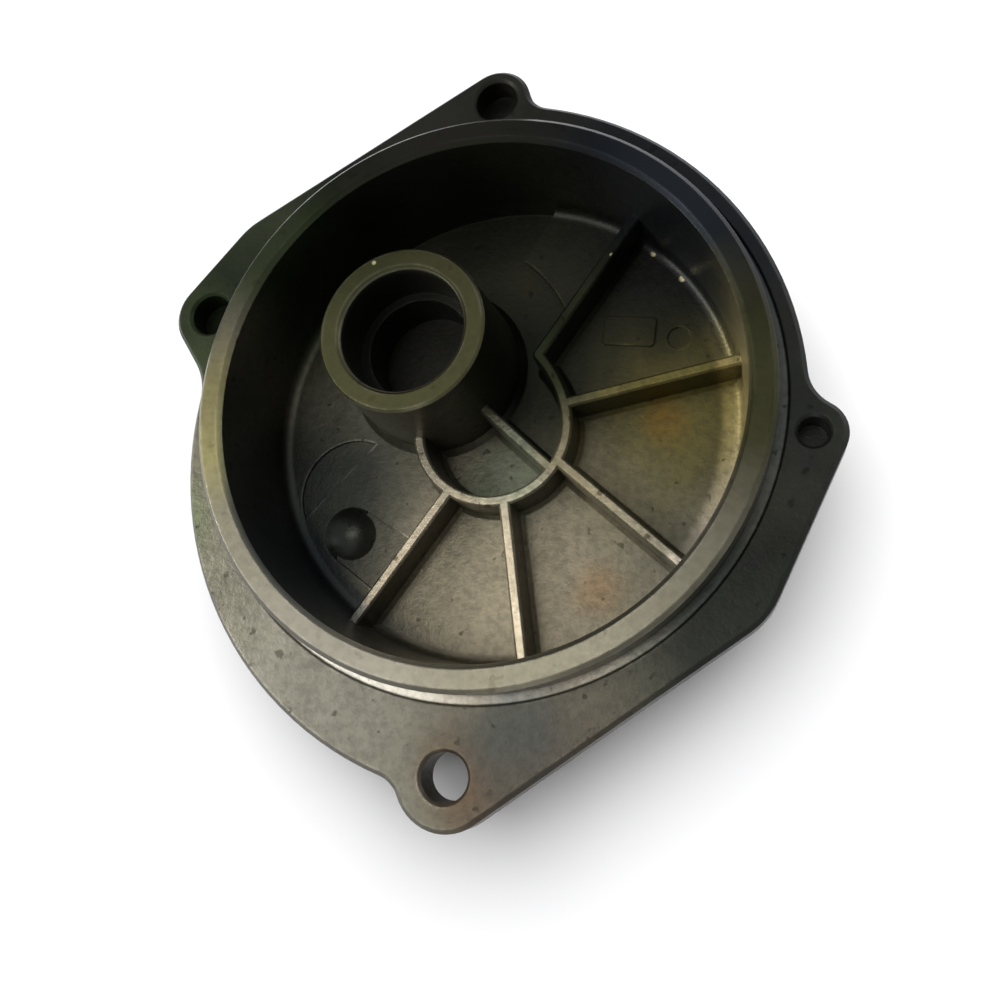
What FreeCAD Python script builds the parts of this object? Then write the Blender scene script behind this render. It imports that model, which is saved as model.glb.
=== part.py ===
import FreeCAD, Part
import math
import os

import Sketcher
from FreeCAD import Placement, Rotation, Vector

# Gear pump body: one die casting in aluminium, millimetres, +Z out of the open mouth.
# The form is drawn from the face of the flange that meets the mating housing, on the axis
# of the spigot: the spigot stands up from that face and the closed cup hangs below it. The
# finished casting is then raised to stand on its flat back, with the origin in the middle
# of that back.

SIZES = (
    ("mouth_radius", 52.0, "inside of the cup at the spigot face"),
    ("spigot_wall", 5.2, "out to the locating diameter that enters the mating housing"),
    ("spigot_rise", 7.3, "spigot face above the flange face"),
    ("rim_break", 0.9, "chamfer on both corners of the spigot face"),
    ("relief_width", 2.1, "turned relief in the flange face at the foot of the spigot"),
    ("relief_depth", 0.5, ""),
    ("flange_depth", 8.0, "thickness of the flange"),
    ("flange_break", 0.9, "chamfer on both edges of the flange"),
    ("ear_hole_radius", 4.5, "holes of the ears"),
    ("pin_hole_radius", 2.8, "locating hole in the right ear"),
    ("hole_break", 0.6, "chamfer on the holes of the ears"),
    ("blind_hole_floor", 2.0, "left under them, except in the bottom ear"),
    ("upper_arc_x", -5.0, "flange edge between the right and the top ear"),
    ("upper_arc_y", -1.9, ""),
    ("upper_arc_margin", 10.4, "its radius, beyond that of the spigot"),
    ("lower_arc_x", 5.8, "flange edge between the left and the bottom ear"),
    ("lower_arc_y", -7.1, ""),
    ("lower_arc_margin", 11.4, ""),
    ("top_ear_heading", 84.64, "top ear, from the centre of the upper arc, degrees"),
    ("top_ear_out", 0.9, "centre of the ear beyond that arc"),
    ("top_ear_radius", 7.2, ""),
    ("right_ear_heading", -6.29, "right ear, from the same centre"),
    ("right_ear_out", 0.81, ""),
    ("right_ear_radius", 6.2, ""),
    ("left_ear_heading", 156.41, "left ear, from the centre of the lower arc"),
    ("left_ear_out", 4.62, ""),
    ("left_ear_radius", 8.4, ""),
    ("bottom_ear_heading", -98.27, "bottom ear, from the same centre"),
    ("bottom_ear_out", -3.22, ""),
    ("bottom_ear_radius", 9.8, ""),
    ("upper_knee_heading", 145.52, "soft corner of the upper left edge, from the spigot axis"),
    ("upper_knee_margin", 12.4, "how far it stands out from the spigot"),
    ("upper_knee_radius", 15.0, ""),
    ("lower_knee_heading", -37.9, "soft corner of the lower right edge"),
    ("lower_knee_margin", 11.5, ""),
    ("lower_knee_radius", 15.0, ""),
    ("left_flank_heading", -56.0, "straight edge that leaves the left ear, degrees"),
    ("right_ear_fillet", 8.0, "where the ears run into the arcs"),
    ("top_ear_fillet", 5.0, ""),
    ("left_ear_fillet", 12.0, ""),
    ("bottom_ear_fillet", 6.0, ""),
    ("cup_depth", 26.0, "cup floor below the spigot face"),
    ("cavity_draft", 1.0, "how much narrower the cup is at its floor, on the radius"),
    ("floor_corner", 2.2, "radius between wall and floor"),
    ("floor_wall", 6.0, "thickness of the floor"),
    ("cup_wall", 4.5, "thickness of the cup's side"),
    ("cup_base_bevel", 4.0, "bevel between the cup's side and its back"),
    ("cup_neck", 2.0, "conical neck between the cup's side and the flange"),
    ("boss_x", -15.1, "bearing boss"),
    ("boss_y", 13.5, ""),
    ("boss_wall", 4.4, "round the bearing seat, at the boss face"),
    ("boss_draft", 1.0, "how much wider the boss is at the cup floor, on the radius"),
    ("boss_drop", 2.0, "boss face below the spigot face"),
    ("boss_foot_flare", 1.4, "bevel round its foot"),
    ("boss_break", 0.5, "outer corner of the boss face"),
    ("bore_radius", 13.0, "bearing seat"),
    ("bore_break", 0.8, "mouth chamfer of the bearing seat"),
    ("bore_depth", 12.0, "depth of the bearing seat"),
    ("seat_shoulder", 1.8, "step at the end of the seat, down to a plain bore"),
    ("plain_bore_depth", 22.5, "end of the plain bore below the boss face"),
    ("web_top_width", 2.3, "ribs and ring wall at their top"),
    ("web_foot_width", 2.9, "the same at the cup floor"),
    ("web_height", 8.3, "ribs and ring wall above the cup floor"),
    ("web_top_break", 0.45, "chamfer along both edges of their top"),
    ("web_foot_flare", 0.9, "bevel along their feet"),
    ("ring_x", 0.0, "ring wall in the middle"),
    ("ring_y", -2.8, ""),
    ("ring_radius", 15.8, "to the middle of the wall"),
    ("ring_end", 14.0, "where it ends, counterclockwise from the bearing boss, degrees"),
    ("ring_tail_radius", 28.0, "flatter last part of the ring wall"),
    ("ring_tail_sweep", 26.5, ""),
    ("divider_heading", -42.7, "wall across the ring, away from the boss"),
    ("rib_a_seat", -123.2, "where each rib leaves the ring, degrees"),
    ("rib_a_heading", -125.5, "which way it runs"),
    ("rib_b_seat", -78.8, ""),
    ("rib_b_heading", -81.7, ""),
    ("rib_c_seat", -28.6, ""),
    ("rib_c_heading", -40.9, ""),
    ("rib_d_seat", 16.1, ""),
    ("rib_d_heading", 11.9, ""),
    ("rib_e_heading", 55.5, "this one grows out of the end of the ring wall"),
    ("well_drop", 3.0, "sunk floor inside the ring and behind the bearing boss"),
    ("well_radius", 31.0, "its edge along the raised land, round the boss"),
    ("well_left_heading", 138.0, "its end behind the boss, from the spigot axis"),
    ("land_heading", 77.3, "where the raised land meets the wall"),
    ("land_corner_heading", 52.0, "its corner on the edge of the well, from the boss"),
    ("moon_heading", -156.3, "shallow half-moon recess, from the spigot axis"),
    ("moon_margin", 0.2, "floor left between it and the wall"),
    ("moon_radius", 12.3, ""),
    ("moon_flat_heading", 47.0, "direction of its straight side"),
    ("moon_flat_shift", 4.5, "straight side, from the middle of its arc"),
    ("moon_drop", 0.8, ""),
    ("dimple_heading", -144.6, "round dished recess, from the spigot axis"),
    ("dimple_margin", 1.9, "floor left between it and the wall"),
    ("dimple_radius", 6.2, ""),
    ("dimple_drop", 3.0, ""),
    ("shelf_drop", 0.8, "shallow recess between the dished one and the first rib"),
    ("shelf_heading", -32.0, "its upper edge"),
    ("insert_x", 27.5, "low pad of a mould insert"),
    ("insert_y", 19.5, ""),
    ("insert_length", 11.0, ""),
    ("insert_width", 6.5, ""),
    ("insert_turn", -6.0, ""),
    ("insert_rise", 0.4, ""),
    ("insert_corner", 1.0, ""),
    ("pin_mark_x", 37.8, "round mark left by an ejector pin"),
    ("pin_mark_y", 17.4, ""),
    ("pin_mark_radius", 2.4, ""),
    ("pin_mark_drop", 0.4, ""),
)

doc = FreeCAD.newDocument("pump_body")
sheet = doc.addObject("Spreadsheet::Sheet", "sizes")
for row, (alias, value, note) in enumerate(SIZES, 1):
    sheet.set("A%d" % row, alias)
    sheet.set("B%d" % row, str(value))
    sheet.set("C%d" % row, note)
    sheet.setAlias("B%d" % row, alias)
doc.recompute()


class Dim:
    """A size with the formula that gives it, so that a sketch can be drawn and bound at once."""

    def __init__(self, value, text):
        self.value = float(value)
        self.text = text

    def __add__(self, other):
        other = dim(other)
        return Dim(self.value + other.value, "(%s + %s)" % (self.text, other.text))

    def __sub__(self, other):
        other = dim(other)
        return Dim(self.value - other.value, "(%s - %s)" % (self.text, other.text))

    def __mul__(self, other):
        other = dim(other)
        return Dim(self.value * other.value, "(%s * %s)" % (self.text, other.text))

    def __truediv__(self, other):
        other = dim(other)
        return Dim(self.value / other.value, "(%s / %s)" % (self.text, other.text))

    def __neg__(self):
        return Dim(-self.value, "(-1 * %s)" % self.text)


def dim(thing):
    """The named size for a word, a plain number for a number."""
    if isinstance(thing, Dim):
        return thing
    if isinstance(thing, str):
        return Dim(sheet.get(thing), "sizes." + thing)
    return Dim(thing, "%.10g" % thing)


def cosine(angle):
    return Dim(math.cos(math.radians(angle.value)), "cos(%s * 1deg)" % angle.text)


def sine(angle):
    return Dim(math.sin(math.radians(angle.value)), "sin(%s * 1deg)" % angle.text)


def root(square):
    return Dim(math.sqrt(square.value), "sqrt(%s)" % square.text)


def heading_of(x, y):
    """Direction of a step, in degrees from the X axis."""
    text = "(atan2(%s; %s) / 1deg)" % (y.text, x.text)
    return Dim(math.degrees(math.atan2(y.value, x.value)), text)


def opposite(far, one, two):
    """Angle of a triangle, in degrees, across from its side far."""
    far, one, two = dim(far), dim(one), dim(two)
    ratio = (one * one + two * two - far * far) / (one * two * 2)
    return Dim(math.degrees(math.acos(ratio.value)), "(acos(%s) / 1deg)" % ratio.text)


def polar(centre, radius, angle):
    """The point at a radius and an angle from a centre."""
    return centre[0] + radius * cosine(angle), centre[1] + radius * sine(angle)


def reach(start, heading, radius):
    """How far a ray from start runs before it meets the circle of that radius about the axis."""
    along = start[0] * cosine(heading) + start[1] * sine(heading)
    across = start[0] * sine(heading) - start[1] * cosine(heading)
    return root(radius * radius - across * across) - along


body = doc.addObject("PartDesign::Body", "pump_body")
body.Label = "pump_body"


def origin_plane(role):
    return [f for f in body.Origin.OriginFeatures if f.Role == role][0]


def level_sketch(name, level):
    """A sketch parallel to the flange face, at a height."""
    sketch = body.newObject("Sketcher::SketchObject", name)
    sketch.AttachmentSupport = [(origin_plane("XY_Plane"), "")]
    sketch.MapMode = "FlatFace"
    level = dim(level)
    sketch.AttachmentOffset = Placement(Vector(0, 0, level.value), Rotation())
    sketch.setExpression("AttachmentOffset.Base.z", level.text)
    return sketch


def upright_sketch(name, point=(0, 0), turn=0):
    """A sketch that stands on a point, its own Y up and its X turned from the X axis."""
    sketch = body.newObject("Sketcher::SketchObject", name)
    sketch.AttachmentSupport = [(origin_plane("XZ_Plane"), "")]
    sketch.MapMode = "FlatFace"
    x, y, turn = dim(point[0]), dim(point[1]), dim(turn)
    sketch.AttachmentOffset = Placement(
        Vector(x.value, 0, -y.value), Rotation(Vector(0, 1, 0), turn.value)
    )
    sketch.setExpression("AttachmentOffset.Base.x", x.text)
    sketch.setExpression("AttachmentOffset.Base.z", (-y).text)
    if turn.value:
        sketch.setExpression("AttachmentOffset.Rotation.Angle", turn.text + " * 1deg")
    return sketch


def hold(sketch, geo, end, x, y):
    """Ties a point of the sketch to its place."""
    for kind, axis, value in (("DistanceX", -2, dim(x)), ("DistanceY", -1, dim(y))):
        if abs(value.value) < 1e-9:
            sketch.addConstraint(Sketcher.Constraint("PointOnObject", geo, end, axis))
            continue
        row = sketch.addConstraint(Sketcher.Constraint(kind, -1, 1, geo, end, value.value))
        sketch.setExpression("Constraints[%d]" % row, value.text)


def bind_radius(sketch, geo, radius):
    row = sketch.addConstraint(Sketcher.Constraint("Radius", geo, dim(radius).value))
    sketch.setExpression("Constraints[%d]" % row, dim(radius).text)


def circle(sketch, x, y, radius):
    x, y, radius = dim(x), dim(y), dim(radius)
    shape = Part.Circle(Vector(x.value, y.value, 0), Vector(0, 0, 1), radius.value)
    geo = sketch.addGeometry(shape)
    hold(sketch, geo, 3, x, y)
    bind_radius(sketch, geo, radius)


def outline(sketch, corners):
    """A closed outline. A corner is (x, y), or (x, y, turn, radius) if an arc leaves it, turn +1
    for an arc that goes round to the left and -1 for one that goes round to the right."""
    count = len(corners)
    ends = []
    for i, corner in enumerate(corners):
        after = corners[(i + 1) % count]
        start = Vector(dim(corner[0]).value, dim(corner[1]).value, 0)
        end = Vector(dim(after[0]).value, dim(after[1]).value, 0)
        if len(corner) == 2:
            geo = sketch.addGeometry(Part.LineSegment(start, end))
            ends.append((geo, 1, 2))
            continue
        turn, radius = corner[2], dim(corner[3]).value
        chord = end - start
        half = chord.Length / 2
        offset = Vector(-chord.y, chord.x, 0).normalize() * math.sqrt(max(radius**2 - half**2, 0))
        centre = (start + end) / 2 + offset * turn
        first, last = (start, end) if turn > 0 else (end, start)
        angles = [math.atan2(p.y - centre.y, p.x - centre.x) for p in (first, last)]
        if angles[1] < angles[0]:
            angles[1] += 2 * math.pi
        arc = Part.ArcOfCircle(Part.Circle(centre, Vector(0, 0, 1), radius), *angles)
        geo = sketch.addGeometry(arc)
        ends.append((geo, 1, 2) if turn > 0 else (geo, 2, 1))
    for i, corner in enumerate(corners):
        geo, first, _ = ends[i]
        before, _, last = ends[i - 1]
        sketch.addConstraint(Sketcher.Constraint("Coincident", before, last, geo, first))
        hold(sketch, geo, first, corner[0], corner[1])
        if len(corner) == 4:
            bind_radius(sketch, geo, corner[3])


def feature(kind, name, sketch):
    made = body.newObject("PartDesign::" + kind, name)
    made.Profile = sketch
    return made


def bind(made, prop, size):
    setattr(made, prop, dim(size).value)
    made.setExpression(prop, dim(size).text)


def pad(name, sketch, length, down=False):
    made = feature("Pad", name, sketch)
    bind(made, "Length", length)
    made.Reversed = down
    return made


def pocket(name, sketch, depth):
    made = feature("Pocket", name, sketch)
    bind(made, "Length", depth)
    return made


def turned(kind, name, sketch, sweep=360):
    """A revolve about the upright line through the sketch's own origin."""
    made = feature(kind, name, sketch)
    made.ReferenceAxis = (sketch, ["V_Axis"])
    bind(made, "Angle", sweep)
    return made


def dress(kind, name, prop, size, wanted):
    """A fillet or chamfer on the edges of the finished shape so far that are wanted."""
    doc.recompute()
    base = body.Tip
    edges = ["Edge%d" % i for i, e in enumerate(base.Shape.Edges, 1) if wanted(e)]
    made = body.newObject("PartDesign::" + kind, name)
    made.Base = (base, edges)
    bind(made, prop, size)
    return made


# Heights, from the flange face.
spigot_face = dim("spigot_rise")
cup_floor = spigot_face - "cup_depth"
back_face = cup_floor - "floor_wall"
flange_back = -dim("flange_depth")
web_top = cup_floor + "web_height"
well_floor = cup_floor - "well_drop"
boss_face = spigot_face - "boss_drop"

# Radii that follow from others.
mouth = dim("mouth_radius")
floor_radius = mouth - "cavity_draft"
spigot = mouth + "spigot_wall"
boss_top = dim("bore_radius") + "boss_wall"
boss_foot = boss_top + "boss_draft"

# Places that several features share.
axis_point = (dim(0), dim(0))
ring = (dim("ring_x"), dim("ring_y"))
boss = (dim("boss_x"), dim("boss_y"))

# Flange. Its outline is a belt of straight edges round the ears and the two knees on one pair
# of sides, and two large arcs on the other pair, with a fillet where an ear meets an arc.


def knee(word):
    radius = dim(word + "_radius")
    centre = polar(axis_point, spigot + (word + "_margin") - radius, dim(word + "_heading"))
    return centre + (radius,)


def sweep_of(word):
    return (dim(word + "_x"), dim(word + "_y"), spigot + (word + "_margin"))


def ear(word, large_arc):
    """An ear stands on the large arc that runs up to it."""
    centre = polar(large_arc, large_arc[2] + (word + "_out"), dim(word + "_heading"))
    return centre + (dim(word + "_radius"),)


def centre_of(disc):
    return Vector(disc[0].value, disc[1].value, 0)


def belt(first, second):
    """The straight edge that runs outside two discs, counterclockwise."""
    a, b = centre_of(first), centre_of(second)
    heading = math.atan2(b.y - a.y, b.x - a.x)
    lean = math.asin((first[2].value - second[2].value) / (b - a).Length)
    side = heading - math.pi / 2 + lean
    out = Vector(math.cos(side), math.sin(side), 0)
    return a + out * first[2].value, b + out * second[2].value


def between(first, second, radius):
    """Centre of the fillet that touches two discs from outside, on the right of their line."""
    a, b = centre_of(first), centre_of(second)
    one, two = first[2].value + radius, second[2].value + radius
    gap = (b - a).Length
    along = (one**2 - two**2 + gap**2) / (2 * gap)
    line = (b - a).normalize()
    return a + line * along + Vector(line.y, -line.x, 0) * math.sqrt(one**2 - along**2)


def touch(disc, fillet_centre):
    out = (fillet_centre - centre_of(disc)).normalize()
    return centre_of(disc) + out * disc[2].value


upper_arc, lower_arc = sweep_of("upper_arc"), sweep_of("lower_arc")
upper_knee, lower_knee = knee("upper_knee"), knee("lower_knee")
top_ear, right_ear = ear("top_ear", upper_arc), ear("right_ear", upper_arc)
left_ear, bottom_ear = ear("left_ear", lower_arc), ear("bottom_ear", lower_arc)

right_fillet = between(right_ear, upper_arc, dim("right_ear_fillet").value)
top_fillet = between(upper_arc, top_ear, dim("top_ear_fillet").value)
bottom_fillet = between(lower_arc, bottom_ear, dim("bottom_ear_fillet").value)

flank = math.radians(dim("left_flank_heading").value)
flank_run = Vector(math.cos(flank), math.sin(flank), 0)
flank_out = Vector(math.sin(flank), -math.cos(flank), 0)
flank_start = centre_of(left_ear) + flank_out * left_ear[2].value
left_gap = dim("left_ear_fillet").value
to_arc = flank_start + flank_out * left_gap - centre_of(lower_arc)
along = to_arc.dot(flank_run)
clear = (lower_arc[2].value + left_gap) ** 2 - (to_arc.Length**2 - along**2)
left_fillet = flank_start + flank_out * left_gap - flank_run * (along + math.sqrt(clear))
left_turn = left_fillet - flank_out * left_gap

flange_outline = level_sketch("flange_outline", 0)
pieces = []


def edge(start, end):
    pieces.append((flange_outline.addGeometry(Part.LineSegment(start, end)), 1, 2))


def arc(centre, radius, start, end, hollow=False):
    first, last = (end, start) if hollow else (start, end)
    angles = [math.atan2(p.y - centre.y, p.x - centre.x) for p in (first, last)]
    if angles[1] < angles[0]:
        angles[1] += 2 * math.pi
    made = Part.ArcOfCircle(Part.Circle(centre, Vector(0, 0, 1), dim(radius).value), *angles)
    geo = flange_outline.addGeometry(made)
    pieces.append((geo, 2, 1) if hollow else (geo, 1, 2))
    return geo


right_start, top_edge = belt(lower_knee, right_ear), belt(top_ear, upper_knee)
left_edge, bottom_edge = belt(upper_knee, left_ear), belt(bottom_ear, lower_knee)
rounds = []


def rounded(disc, start, end):
    rounds.append((arc(centre_of(disc), disc[2], start, end), disc))


rounded(right_ear, right_start[1], touch(right_ear, right_fillet))
fillets = [(arc(right_fillet, "right_ear_fillet", touch(right_ear, right_fillet),
                touch(upper_arc, right_fillet), True), "right_ear_fillet")]
rounded(upper_arc, touch(upper_arc, right_fillet), touch(upper_arc, top_fillet))
fillets.append((arc(top_fillet, "top_ear_fillet", touch(upper_arc, top_fillet),
                    touch(top_ear, top_fillet), True), "top_ear_fillet"))
rounded(top_ear, touch(top_ear, top_fillet), top_edge[0])
edge(*top_edge)
rounded(upper_knee, top_edge[1], left_edge[0])
edge(*left_edge)
rounded(left_ear, left_edge[1], flank_start)
edge(flank_start, left_turn)
flank_edge = pieces[-1][0]
fillets.append((arc(left_fillet, "left_ear_fillet", left_turn, touch(lower_arc, left_fillet),
                    True), "left_ear_fillet"))
rounded(lower_arc, touch(lower_arc, left_fillet), touch(lower_arc, bottom_fillet))
fillets.append((arc(bottom_fillet, "bottom_ear_fillet", touch(lower_arc, bottom_fillet),
                    touch(bottom_ear, bottom_fillet), True), "bottom_ear_fillet"))
rounded(bottom_ear, touch(bottom_ear, bottom_fillet), bottom_edge[0])
edge(*bottom_edge)
rounded(lower_knee, bottom_edge[1], right_start[0])
edge(*right_start)
for i, (geo, first, _) in enumerate(pieces):
    before, _, last = pieces[i - 1]
    flange_outline.addConstraint(Sketcher.Constraint("Tangent", before, last, geo, first))
for geo, disc in rounds:
    hold(flange_outline, geo, 3, disc[0], disc[1])
    bind_radius(flange_outline, geo, disc[2])
for geo, size in fillets:
    bind_radius(flange_outline, geo, size)
row = flange_outline.addConstraint(Sketcher.Constraint("Angle", flank_edge, flank))
flange_outline.setExpression("Constraints[%d]" % row, "sizes.left_flank_heading * 1deg")
pad("flange_plate", flange_outline, "flange_depth", down=True)
dress("Chamfer", "flange_edges", "Size", "flange_break",
      lambda e: e.BoundBox.ZLength < 1e-6)

# Holes of the ears. Only the one in the bottom ear goes through the flange.
through_hole = level_sketch("through_hole_outline", 0)
circle(through_hole, bottom_ear[0], bottom_ear[1], "ear_hole_radius")
pocket("through_hole", through_hole, "flange_depth")
blind_holes = level_sketch("blind_holes_outline", 0)
circle(blind_holes, top_ear[0], top_ear[1], "ear_hole_radius")
circle(blind_holes, left_ear[0], left_ear[1], "ear_hole_radius")
circle(blind_holes, right_ear[0], right_ear[1], "pin_hole_radius")
pocket("blind_holes", blind_holes, dim("flange_depth") - "blind_hole_floor")


def hole_rim(e):
    radii = (dim("ear_hole_radius").value, dim("pin_hole_radius").value)
    flat = e.BoundBox.ZLength < 1e-6
    flush = min(abs(e.BoundBox.ZMax), abs(e.BoundBox.ZMax - flange_back.value)) < 1e-6
    round_one = flat and hasattr(e.Curve, "Radius") and len(e.Vertexes) == 1
    return round_one and flush and min(abs(e.Curve.Radius - r) for r in radii) < 1e-6


dress("Chamfer", "ear_hole_break", "Size", "hole_break", hole_rim)

# Cup and spigot, turned about the spigot axis, then the cavity out of the middle.
shell = upright_sketch("cup_section")
outer_base = floor_radius + "cup_wall"
outer_top = mouth + "cup_wall"
outline(shell, [
    (0, back_face),
    (outer_base - "cup_base_bevel", back_face),
    (outer_base, back_face + "cup_base_bevel"),
    (outer_top, flange_back - "cup_neck"),
    (outer_top + "cup_neck", flange_back),
    (spigot, flange_back),
    (spigot, spigot_face - "rim_break"),
    (spigot - "rim_break", spigot_face),
    (0, spigot_face),
])
turned("Revolution", "cup_and_spigot", shell)

relief = upright_sketch("relief_section")
outline(relief, [
    (spigot, -dim("relief_depth")),
    (spigot + "relief_width" - "relief_depth", -dim("relief_depth")),
    (spigot + "relief_width", 0),
    (spigot, 0),
])
turned("Groove", "spigot_relief", relief)

hollow = upright_sketch("cavity_section")
above = spigot_face + 1
outline(hollow, [
    (0, cup_floor),
    (floor_radius - "floor_corner", cup_floor, 1, "floor_corner"),
    (floor_radius, cup_floor + "floor_corner"),
    (mouth, spigot_face - "rim_break"),
    (mouth + "rim_break", spigot_face),
    (mouth + "rim_break", above),
    (0, above),
])
turned("Groove", "cavity", hollow)

# Sunk floor inside the ring and behind the bearing boss, out to the foot of the wall. The
# walls that stand at its edge are added later, on its centre lines.
half_wall = dim("bore_radius") + dim("boss_wall") / 2
to_boss = (boss[0] - ring[0], boss[1] - ring[1])
apart = root(to_boss[0] * to_boss[0] + to_boss[1] * to_boss[1])
ring_start = heading_of(*to_boss) + opposite(half_wall, "ring_radius", apart)
ring_foot = polar(ring, dim("ring_radius"), ring_start)
joint = polar(ring, dim("ring_radius"), dim("ring_end"))
tail = (
    joint[0] - dim("ring_tail_radius") * cosine(dim("ring_end")),
    joint[1] - dim("ring_tail_radius") * sine(dim("ring_end")),
)
tail_end = polar(tail, dim("ring_tail_radius"), dim("ring_end") + "ring_tail_sweep")


def reach_from(centre, start, heading, radius):
    moved = (start[0] - centre[0], start[1] - centre[1])
    return reach(moved, heading, radius)


divider = dim("divider_heading")
divider_run = reach_from(ring, boss, divider, dim("ring_radius"))
divider_end = polar(boss, divider_run, divider)
rib_e = dim("rib_e_heading")
well_side = polar(tail_end, reach_from(boss, tail_end, rib_e, dim("well_radius")), rib_e)
well_end = polar(axis_point, floor_radius, dim("well_left_heading"))
well = level_sketch("well_outline", cup_floor + "floor_corner")
outline(well, [
    ring_foot + (1, dim("ring_radius")),
    divider_end + (1, dim("ring_radius")),
    joint + (1, dim("ring_tail_radius")),
    tail_end,
    well_side + (1, dim("well_radius")),
    polar(boss, dim("well_radius"), dim("land_corner_heading")),
    polar(axis_point, floor_radius, dim("land_heading")) + (1, floor_radius),
    well_end,
    boss,
])
pocket("well", well, dim("floor_corner") + "well_drop")

# Half-moon, dished recess and shelf in the floor of the left sector.
edge_radius = floor_radius - "floor_corner"


def near_wall(word):
    """Centre of a round recess that stays clear of the corner between floor and wall."""
    out = edge_radius - (word + "_margin") - (word + "_radius")
    return polar(axis_point, out, dim(word + "_heading"))


moon = level_sketch("moon_outline", cup_floor)
moon_radius, flat_shift = dim("moon_radius"), dim("moon_flat_shift")
flat = dim("moon_flat_heading")
flat_middle = polar(near_wall("moon"), flat_shift, flat + 90)
flat_half = root(moon_radius * moon_radius - flat_shift * flat_shift)
outline(moon, [
    polar(flat_middle, flat_half, flat) + (1, moon_radius),
    polar(flat_middle, -flat_half, flat),
])
pocket("half_moon", moon, "moon_drop")

rib_a_start = polar(ring, dim("ring_radius"), dim("rib_a_seat"))
rib_a = dim("rib_a_heading")
dimple = near_wall("dimple")
shelf = level_sketch("shelf_outline", cup_floor)
shelf_top = polar(dimple, dim("dimple_radius"), dim("shelf_heading") + 90)
aside = sine(rib_a - "shelf_heading")
offset = (
    (rib_a_start[0] - shelf_top[0]) * sine(rib_a) - (rib_a_start[1] - shelf_top[1]) * cosine(rib_a)
)
shelf_corner = polar(shelf_top, offset / aside, dim("shelf_heading"))
outline(shelf, [
    shelf_top,
    dimple,
    polar(dimple, dim("dimple_radius"), rib_a),
    polar(shelf_corner, dim("dimple_radius") * 2.2, rib_a),
    shelf_corner,
])
pocket("shelf", shelf, "shelf_drop")

dish = upright_sketch("dimple_section", dimple)
depth, across = dim("dimple_drop"), dim("dimple_radius")
outline(dish, [
    (0, cup_floor - depth, 1, (across * across + depth * depth) / (depth * 2)),
    (across, cup_floor),
    (0, cup_floor),
])
turned("Groove", "dimple", dish)

# Bearing boss, tapered outside, with a bevel at its foot on each of the two floors.
pillar = upright_sketch("boss_section", boss)
outline(pillar, [
    (0, well_floor - 1),
    (boss_foot, well_floor - 1),
    (boss_foot, cup_floor),
    (boss_top, boss_face - "boss_break"),
    (boss_top - "boss_break", boss_face),
    (0, boss_face),
])
turned("Revolution", "bearing_boss", pillar)
to_ring_foot = heading_of(ring_foot[0] - boss[0], ring_foot[1] - boss[1])
to_well_end = heading_of(well_end[0] - boss[0], well_end[1] - boss[1])
for name, level, start, end in (
    ("foot_in_well", well_floor, to_ring_foot, to_well_end),
    ("foot_on_floor", cup_floor, to_well_end, to_ring_foot + 360),
):
    section = upright_sketch(name + "_section", boss, start)
    outline(section, [
        (boss_foot - 1, level - 1),
        (boss_foot + "boss_foot_flare", level - 1),
        (boss_foot + "boss_foot_flare", level),
        (boss_foot, level + "boss_foot_flare"),
        (boss_foot - 1, level + "boss_foot_flare"),
    ])
    turned("Revolution", name, section, end - start)

# Walls and ribs of the floor.


def web_section(sketch, middle, left_floor, right_floor):
    """Section of a wall: drafted sides, chamfered top, a bevel at each foot."""
    tip = dim("web_top_width") / 2
    foot = dim("web_foot_width") / 2
    flare = foot + "web_foot_flare"
    bottom = well_floor - 1
    middle = dim(middle)
    outline(sketch, [
        (middle - flare, bottom),
        (middle + flare, bottom),
        (middle + flare, right_floor),
        (middle + foot, right_floor + "web_foot_flare"),
        (middle + tip, web_top - "web_top_break"),
        (middle + tip - "web_top_break", web_top),
        (middle - tip + "web_top_break", web_top),
        (middle - tip, web_top - "web_top_break"),
        (middle - foot, left_floor + "web_foot_flare"),
        (middle - flare, left_floor),
    ])


# The ring wall starts inside the wall of the boss and stands at the edge of the well.
ring_low = upright_sketch("ring_section", ring, ring_start)
web_section(ring_low, "ring_radius", well_floor, cup_floor)
turned("Revolution", "ring_wall", ring_low, dim("ring_end") + 360 - ring_start)
ring_high = upright_sketch("ring_tail_section", tail, dim("ring_end"))
web_section(ring_high, "ring_tail_radius", well_floor, cup_floor)
turned("Revolution", "ring_tail", ring_high, "ring_tail_sweep")
corner_post = upright_sketch("ring_corner_section", tail_end)
outline(corner_post, [
    (0, well_floor - 1),
    (dim("web_foot_width") / 2 + "web_foot_flare", well_floor - 1),
    (dim("web_foot_width") / 2 + "web_foot_flare", well_floor),
    (dim("web_foot_width") / 2, well_floor + "web_foot_flare"),
    (dim("web_top_width") / 2, web_top - "web_top_break"),
    (dim("web_top_width") / 2 - "web_top_break", web_top),
    (0, web_top),
])
turned("Revolution", "ring_corner", corner_post)

wall_reach = floor_radius + dim("cup_wall") / 2
ribs = [("rib_%s" % n, polar(ring, dim("ring_radius"), dim("rib_%s_seat" % n)),
         dim("rib_%s_heading" % n), cup_floor) for n in "abcd"]
ribs.append(("rib_e", tail_end, rib_e, well_floor))
for name, start, heading, floor_on_left in ribs:
    section = upright_sketch(name + "_section", start, heading + 90)
    web_section(section, 0, cup_floor, floor_on_left)
    pad(name, section, reach(start, heading, wall_reach))

divider_start = polar(boss, half_wall, divider)
section = upright_sketch("divider_section", divider_start, divider + 90)
web_section(section, 0, well_floor, well_floor)
pad("ring_divider", section, divider_run - half_wall)

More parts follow.
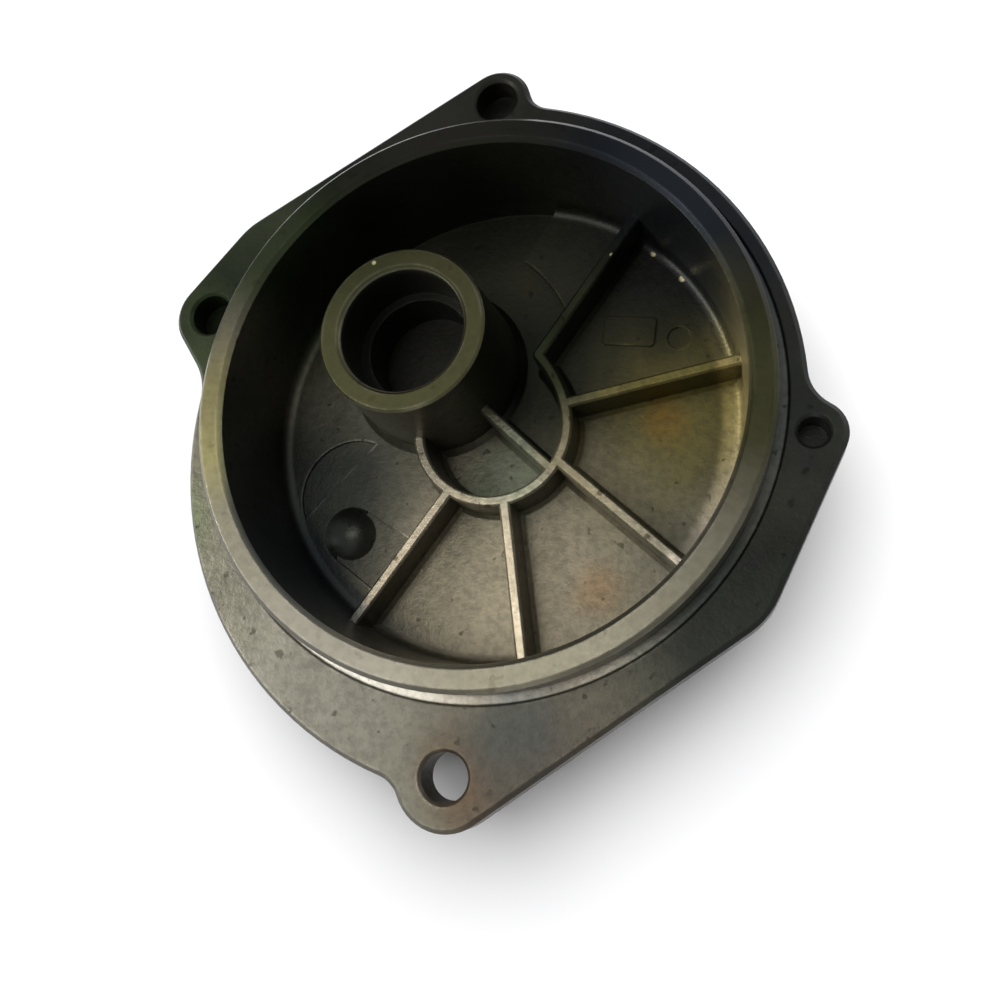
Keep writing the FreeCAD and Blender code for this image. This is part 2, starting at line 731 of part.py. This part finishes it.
# Bearing seat, with a plain bore below it.
bore = upright_sketch("bore_section", boss)
seat_end = boss_face - "bore_depth"
plain_bore = dim("bore_radius") - "seat_shoulder"
outline(bore, [
    (0, boss_face - "plain_bore_depth"),
    (plain_bore, boss_face - "plain_bore_depth"),
    (plain_bore, seat_end),
    ("bore_radius", seat_end),
    ("bore_radius", boss_face - "bore_break"),
    (dim("bore_radius") + "bore_break", boss_face),
    (dim("bore_radius") + "bore_break", boss_face + 1),
    (0, boss_face + 1),
])
turned("Groove", "bearing_bore", bore)

# Marks of the mould on the floor of the upper right sector.
insert = level_sketch("insert_outline", cup_floor)
half_x, half_y = dim("insert_length") / 2, dim("insert_width") / 2
corner = dim("insert_corner")
turn = dim("insert_turn")


def on_insert(x, y):
    return (dim("insert_x") + x * cosine(turn) - y * sine(turn),
            dim("insert_y") + x * sine(turn) + y * cosine(turn))


outline(insert, [
    on_insert(corner - half_x, -half_y),
    on_insert(half_x - corner, -half_y) + (1, corner),
    on_insert(half_x, corner - half_y),
    on_insert(half_x, half_y - corner) + (1, corner),
    on_insert(half_x - corner, half_y),
    on_insert(corner - half_x, half_y) + (1, corner),
    on_insert(-half_x, half_y - corner),
    on_insert(-half_x, corner - half_y) + (1, corner),
])
pad("insert_pad", insert, "insert_rise")
mark = level_sketch("pin_mark_outline", cup_floor)
circle(mark, "pin_mark_x", "pin_mark_y", "pin_mark_radius")
pocket("pin_mark", mark, "pin_mark_drop")

# Stand the casting on its back.
body.Placement = Placement(Vector(0, 0, -back_face.value), Rotation())
body.setExpression("Placement.Base.z", (-back_face).text)
doc.recompute()

faults = [o.Name for o in doc.Objects if "Invalid" in o.State or "Error" in o.State]
if faults:
    raise SystemExit("not computed: " + ", ".join(faults))
shape = body.Shape
if shape.isNull() or not shape.isValid() or len(shape.Solids) != 1:
    raise SystemExit("pump_body is not one valid solid")

os.makedirs("parts", exist_ok=True)
body.Shape.exportStep("parts/pump_body.step")
box = shape.BoundBox
print("pump_body", round(shape.Volume), "mm3, box", [round(v, 1) for v in (
    box.XLength, box.YLength, box.ZLength)], "faces", len(shape.Faces))
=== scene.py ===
import bpy
import math
from mathutils import Euler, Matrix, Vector

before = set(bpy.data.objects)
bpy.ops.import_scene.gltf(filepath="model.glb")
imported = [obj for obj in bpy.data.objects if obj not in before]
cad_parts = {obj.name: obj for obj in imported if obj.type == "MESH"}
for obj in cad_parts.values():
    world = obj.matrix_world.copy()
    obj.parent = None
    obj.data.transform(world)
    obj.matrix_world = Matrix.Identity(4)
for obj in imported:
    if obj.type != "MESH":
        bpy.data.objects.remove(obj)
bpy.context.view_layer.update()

scene = bpy.context.scene


# Casting: pump_body
# The whole object is one aluminium die casting. Its skin is dark and oily as cast, with a fine
# grain, and the rim, the spigot and the boss face are turned and a little brighter.


class Sockets:
    """Shader maths on one node tree, written as plain sums."""

    def __init__(self, tree):
        self.tree = tree

    def node(self, kind, inputs=(), out=0, **settings):
        made = self.tree.nodes.new("ShaderNode" + kind)
        for key, value in settings.items():
            setattr(made, key, value)
        for key, value in dict(inputs).items():
            if isinstance(value, S):
                self.tree.links.new(value.socket, made.inputs[key])
            else:
                made.inputs[key].default_value = value
        return S(self, made.outputs[out])

    def maths(self, what, *values, clamp=False):
        return self.node("Math", dict(enumerate(values)), operation=what, use_clamp=clamp)

    def ramp(self, value, low, high):
        """0 below low, 1 above high, smooth between; high may be the smaller one."""
        inputs = {0: value, 1: low, 2: high}
        if low < high:
            return self.node("MapRange", inputs, interpolation_type="SMOOTHSTEP")
        inputs = {0: value, 1: high, 2: low}
        return 1 - self.node("MapRange", inputs, interpolation_type="SMOOTHSTEP")

    def mix(self, factor, a, b, blend="MIX"):
        """Colours, each a socket or a triple."""
        made = self.tree.nodes.new("ShaderNodeMix")
        made.data_type = "RGBA"
        made.blend_type = blend
        for key, value in ((0, factor), (6, a), (7, b)):
            if isinstance(value, S):
                self.tree.links.new(value.socket, made.inputs[key])
            elif key:
                made.inputs[key].default_value = tuple(value) + (1,)
            else:
                made.inputs[key].default_value = value
        return S(self, made.outputs[2])

    def tint(self, factor, colour, by):
        """The colour multiplied by another, as far as the factor says."""
        return self.mix(factor, colour, by, "MULTIPLY")

    def noise(self, place, scale, detail, rough, distort=0):
        return self.node("TexNoise", {"Vector": place, "Scale": scale, "Detail": detail,
                                      "Roughness": rough, "Distortion": distort})

    def length(self, across, along):
        return self.maths("SQRT", across * across + along * along)

    def split(self, vector):
        """The three parts of a vector."""
        return [self.node("SeparateXYZ", {0: vector}, out) for out in range(3)]

    def feed(self, value, shader, name):
        self.tree.links.new(value.socket, shader.inputs[name])


class S:
    """One output, with + - and * on it."""

    def __init__(self, net, socket):
        self.net = net
        self.socket = socket

    def __add__(self, other):
        return self.net.maths("ADD", self, other)

    def __radd__(self, other):
        return self.net.maths("ADD", other, self)

    def __sub__(self, other):
        return self.net.maths("SUBTRACT", self, other)

    def __rsub__(self, other):
        return self.net.maths("SUBTRACT", other, self)

    def __mul__(self, other):
        return self.net.maths("MULTIPLY", self, other)

    def __rmul__(self, other):
        return self.net.maths("MULTIPLY", other, self)


def material(name):
    made = bpy.data.materials.new(name)
    made.use_nodes = True
    return made, made.node_tree.nodes["Principled BSDF"], Sockets(made.node_tree)


MM = 0.001
BOSS_X, BOSS_Y = -15.1, 13.5
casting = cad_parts["pump_body"]
cast, surface, net = material("cast_aluminium")
place = net.node("TexCoord", out="Object")
x, y, z = [part * 1000 for part in net.split(place)]
radius = net.length(x, y)
facing_up = net.ramp(net.split(net.node("NewGeometry", out="Normal"))[2], 0.9, 0.99)

# Where the lathe has been: the rim face, the side of the spigot and the boss face. The tops of
# the ribs and of the ring are painted lighter as well, a painted highlight where light catches
# them, and the bore is marked for painted shade. Lengths are in millimetres.
on_rim = net.ramp(z, 30.9, 31.2) * net.ramp(radius, 51.0, 51.8)
spigot_side = (net.ramp(radius, 57.6, 57.3) * net.ramp(radius, 56.0, 56.6)
               * net.ramp(z, 24.0, 24.6))
from_boss = net.length(x - BOSS_X, y - BOSS_Y)
on_boss = net.ramp(from_boss, 17.6, 17.3) * net.ramp(z, 29.3, 29.6)
# The bore below its mouth, for painted shade.
bore_shade = net.ramp(from_boss, 13.6, 13.3) * net.ramp(z, 29.2, 27.5)
# Painted highlight: the upward tops of the ribs and of the ring.
top_highlight = net.ramp(z, 13.9, 14.2) * net.ramp(z, 14.7, 14.4) * facing_up
turned = net.maths("MAXIMUM", net.maths("MAXIMUM", on_rim, on_boss), spigot_side)
turned_and_highlit = net.maths("MAXIMUM", turned, top_highlight)

# The skin: cast grain, sand and larger blotches, then the turned faces with the painted highlight
# on the rib tops, the edges, partly rubbed and partly a painted highlight, and a painted
# highlight in the groove at the foot of the spigot.
grain = net.noise(place, 1500, 4, 0.6)
pebble = net.noise(place, 620, 3, 0.6)
mottle = net.noise(place, 42, 5, 0.52)
blotch = net.ramp(mottle, 0.30, 0.70) * (1 - turned * 0.75)
colour = net.mix(blotch, (0.054, 0.052, 0.038), (0.088, 0.083, 0.062))
colour = net.mix(turned_and_highlit * 0.6, colour, (0.150, 0.140, 0.108))
colour = net.tint(on_rim, colour, (0.76, 0.76, 0.74))
colour = net.tint(on_boss, colour, (0.44, 0.46, 0.28))
core = net.node("AmbientOcclusion", {"Distance": 0.6 * MM}, out="AO", samples=2, inside=True,
                only_local=True)
# Convex edges, partly rubbed and partly a painted highlight where they catch the light.
edge_wear_and_highlight = net.ramp(core, 0.93, 0.62) * net.ramp(net.noise(place, 90, 3, 0.6), 0.38, 0.62)
colour = net.mix(edge_wear_and_highlight * 0.5, colour, (0.36, 0.34, 0.28))
# Painted highlight: the groove at the foot of the spigot is painted light against its own shade.
groove_highlight = (net.ramp(radius, 56.9, 57.3) * net.ramp(radius, 60.0, 59.4)
          * net.ramp(z, 24.5, 24.1) * net.ramp(z, 21.0, 22.0))
colour = net.mix(groove_highlight * 0.75, colour, (0.42, 0.40, 0.33))

# Painted light and shade, colour tints and stains, each a soft patch: centre, full and outer
# reach, where it lies and the tint. The painted light makes the floor lighter towards the bottom,
# the right wall and the left of the rim lighter and the lower left of the flange paler. The
# painted shade darkens the top, the upper right, the right of the flange and rim, the flange's
# lower right and upper left, the deep well beside the boss, the floor and wall at the left and
# the floor towards the top. The olive, green, blue and brown tints that ride on some of them, and
# three rust-brown stains, are the casting's own colour. Their outlines drift with two clouds of
# noise.
DRIFT = 24
drift_x = net.noise(place, 19, 5, 0.6, 0.7) - 0.5
drift_y = net.noise(place, 23, 5, 0.6, 0.7) - 0.5
soft_x, soft_y = x + drift_x * DRIFT, y + drift_y * DRIFT
inside = net.ramp(radius, 53.0, 51.5)
outside = 1 - inside
bowl = inside * (1 - on_boss)
above = inside + outside * net.ramp(z, 15.5, 18.0)
flange = outside * net.ramp(z, 26.5, 25.5) * net.ramp(z, 15.5, 18.0)
foot_band = net.ramp(radius, 45.5, 48.0) * inside
LIGHT_SHADE_AND_STAINS = (
    (0, -36, 10, 42, bowl, (2.15, 1.98, 1.88)),
    (36, 4, 8, 34, bowl, (0.80, 0.73, 0.31)),
    (24, -33, 1, 9, bowl, (1.15, 0.92, 0.76)),
    (33, -2, 1, 7, bowl, (1.35, 1.00, 0.62)),
    (50, -8, 10, 34, foot_band, (3.3, 3.1, 3.4)),
    (-44, -18, 10, 32, bowl, (0.40, 0.47, 0.54)),
    (-38, -38, 6, 28, foot_band, (0.42, 0.50, 0.68)),
    (8, 12, 8, 22, bowl, (0.20, 0.25, 0.19)),
    (30, 26, 6, 20, bowl, (0.44, 0.46, 0.40)),
    (8, 40, 14, 40, bowl, (0.34, 0.36, 0.28)),
    (-8, 66, 16, 54, above, (0.28, 0.29, 0.31)),
    (-8, 66, 16, 54, outside, (0.52, 0.52, 0.52)),
    (50, 50, 22, 50, above, (0.14, 0.18, 0.32)),
    (76, 2, 16, 40, flange, (0.28, 0.32, 0.36)),
    (58, 2, 10, 34, on_rim, (0.38, 0.40, 0.25)),
    (-54, -6, 6, 22, on_rim, (1.5, 1.45, 0.95)),
    (58, -44, 14, 38, flange, (0.14, 0.17, 0.18)),
    (-66, 20, 10, 32, flange, (0.21, 0.33, 0.15)),
    (-46, 42, 14, 36, above, (0.26, 0.36, 0.24)),
    (-34, -60, 8, 44, outside, (1.26, 1.27, 1.42)),
    (-70, -26, 3, 16, outside, (0.72, 0.98, 0.66)),
    (2, -12, 4, 14, bowl, (0.66, 0.82, 0.80)),
    (14, -68, 6, 30, flange, (0.58, 0.51, 0.52)),
    (0, -72, 1, 14, flange, (1.10, 0.88, 0.74)),
    (12, -62, 2, 14, flange, (0.70, 0.86, 1.00)),
)
for px, py, near, far, where, tint in LIGHT_SHADE_AND_STAINS:
    mask = net.ramp(net.length(soft_x - px, soft_y - py), far, near) * where
    colour = net.tint(mask, colour, tint)

# Painted glints, each a centre and a size, then dark pinholes, sand and painted shade in corners.
GLINTS = ((32.6, 37.0, 0.8), (38.7, 30.7, 0.9), (34.2, 37.6, 0.5), (24.7, 33.5, 0.5),
          (-21.6, 28.2, 0.6))
for px, py, size in GLINTS:
    # Painted glint: a pale spot on upward faces.
    glint = net.ramp(net.length(x - px, y - py), size, size * 0.4) * facing_up
    colour = net.mix(glint * 0.8, colour, (0.42, 0.38, 0.22))
pits = net.ramp(net.noise(place, 330, 2, 0.5), 0.66, 0.72) * (1 - turned * 0.6)
colour = net.tint(pits, colour, (0.45, 0.43, 0.40))
sand = net.ramp(pebble, 0.35, 0.7) * (1 - turned * 0.4)
colour = net.mix(sand * 0.30, colour, (0.014, 0.014, 0.011))
# Painted shade: the cup is darker in its corners and recesses, from ambient occlusion.
hollow = net.node("AmbientOcclusion", {"Distance": 14 * MM}, out="AO", samples=2,
                  only_local=True)
corner_shade = net.ramp(hollow, 0.55, 0.15) * net.ramp(radius, 54.5, 53.5)
colour = net.mix(corner_shade * 0.5, colour, (0.015, 0.016, 0.009))
# Painted shade: the bore is painted nearly black below its mouth.
colour = net.mix(bore_shade * 0.9, colour, (0.006, 0.006, 0.005))
net.feed(colour, surface, "Base Color")
metal = 0.5 + net.maths("MAXIMUM", turned_and_highlit, edge_wear_and_highlight) * 0.4
net.feed(metal, surface, "Metallic")
surface.inputs["Specular IOR Level"].default_value = 0.15
rough = 0.37 + (mottle - 0.5) * (0.3 - turned * 0.2) - turned_and_highlit * 0.06 + (grain - 0.5) * 0.15
net.feed(rough, surface, "Roughness")

# Cast grain and rounded edges.
edge = net.node("Bevel", {"Radius": 0.45 * MM}, samples=2)
height = (grain + pebble * 1.5) * (1 - turned * 0.8)
bump = net.node("Bump", {"Strength": 0.35, "Distance": 0.12 * MM, "Height": height,
                         "Normal": edge})
net.feed(bump, surface, "Normal")
for slot in casting.material_slots:
    slot.material = cast


# Paper floor
# A sheet of pale matt paper under the casting, which keeps the casting's shadow. Further off it
# is white of itself, where it is seen directly, so that it runs into the backdrop.
CLEAR_OF_BACK = 0.2 * MM
bpy.ops.mesh.primitive_plane_add(size=8, location=(0, 0, -CLEAR_OF_BACK))
floor = bpy.context.object
floor.name = "floor"
paper, paper_surface, sheet = material("paper")
paper_surface.inputs["Base Color"].default_value = (0.92, 0.92, 0.93, 1)
paper_surface.inputs["Roughness"].default_value = 0.8
spread = sheet.node("VectorMath", {0: sheet.node("TexCoord", out="Object")}, out="Value",
                    operation="LENGTH")


def seen_directly(maths):
    """1 for rays from the camera and from gloss or glass, 0 for those that light things."""
    camera_ray, gloss_ray, glass_ray = [maths.node("LightPath", out="Is %s Ray" % kind)
                                        for kind in ("Camera", "Glossy", "Transmission")]
    return maths.maths("ADD", camera_ray + gloss_ray, glass_ray, clamp=True)


glow = sheet.ramp(spread, 0.2, 0.7) * seen_directly(sheet)
sheet.feed(sheet.mix(glow, (0, 0, 0), (1, 1, 1)), paper_surface, "Emission Color")
paper_surface.inputs["Emission Strength"].default_value = 1
paper.cycles.emission_sampling = "NONE"
floor.data.materials.append(paper)


# Camera
# It looks down into the cup from the photograph's place and at its angle. A small shift of the
# lens puts the casting where the photograph has it in the frame.
camera = bpy.data.objects.new("camera", bpy.data.cameras.new("camera"))
scene.collection.objects.link(camera)
camera.location = (0.052452, -0.059065, 0.197241)
camera.rotation_euler = Euler([math.radians(a) for a in (13.7284, 13.7314, 1.6608)])
camera.data.lens = 34.559
camera.data.shift_x = -0.02
camera.data.shift_y = -0.02
camera.data.clip_start = 0.005
scene.camera = camera


# Lamps and backdrop
# Five soft lamps stand round the casting, the strongest at its left. One wide lamp lights the
# paper alone. The backdrop is white where it is seen directly, and lights things only faintly.
def lamp(name, place, aim, size, power, colour=(1, 1, 1)):
    data = bpy.data.lights.new(name, "AREA")
    data.shape = "RECTANGLE"
    data.size, data.size_y = size
    data.energy = power
    data.color = colour
    made = bpy.data.objects.new(name, data)
    scene.collection.objects.link(made)
    made.location = place
    made.rotation_euler = (Vector(aim) - Vector(place)).to_track_quat("-Z", "Y").to_euler()
    return made


def lights_only(light, *objects):
    """The light falls on these objects alone; everything still casts a shadow in it."""
    group = bpy.data.collections.new(light.name + "_lit")
    for each in objects:
        group.objects.link(each)
    light.light_linking.receiver_collection = group


# Name, degrees above the floor, side in degrees (0 right, 90 top), watts and colour.
LAMP_DISTANCE = 0.6
LAMP_SIZE = (0.2, 0.2)
LAMPS = (
    ("key", 38, 182, 4.1, (1, 0.98, 0.90)),
    ("overhead", 80, 200, 0.8, (1, 0.98, 0.94)),
    ("shoulder", 60, 210, 0.8, (1, 0.98, 0.92)),
    ("fill", 38, 36, 0.35, (0.92, 0.97, 1)),
    ("front", 15, 270, 0.3, (1, 0.97, 0.93)),
)
for name, raised, side, power, tone in LAMPS:
    up, turn = math.radians(raised), math.radians(side)
    way = Vector((math.cos(turn) * math.cos(up), math.sin(turn) * math.cos(up), math.sin(up)))
    lights_only(lamp(name, way * LAMP_DISTANCE, (0, 0, 0), LAMP_SIZE, power, tone), casting)
lights_only(lamp("table_light", (0, 0.45, 1.05), (0, 0, 0), (2.0, 1.6), 31), floor)

world = bpy.data.worlds.new("studio")
world.use_nodes = True
sky = Sockets(world.node_tree)
backdrop = world.node_tree.nodes["Background"]
backdrop.inputs["Color"].default_value = (1, 1, 1, 1)
sky.feed(seen_directly(sky) * 0.94 + 0.06, backdrop, "Strength")
scene.world = world
scene.view_settings.view_transform = "Standard"
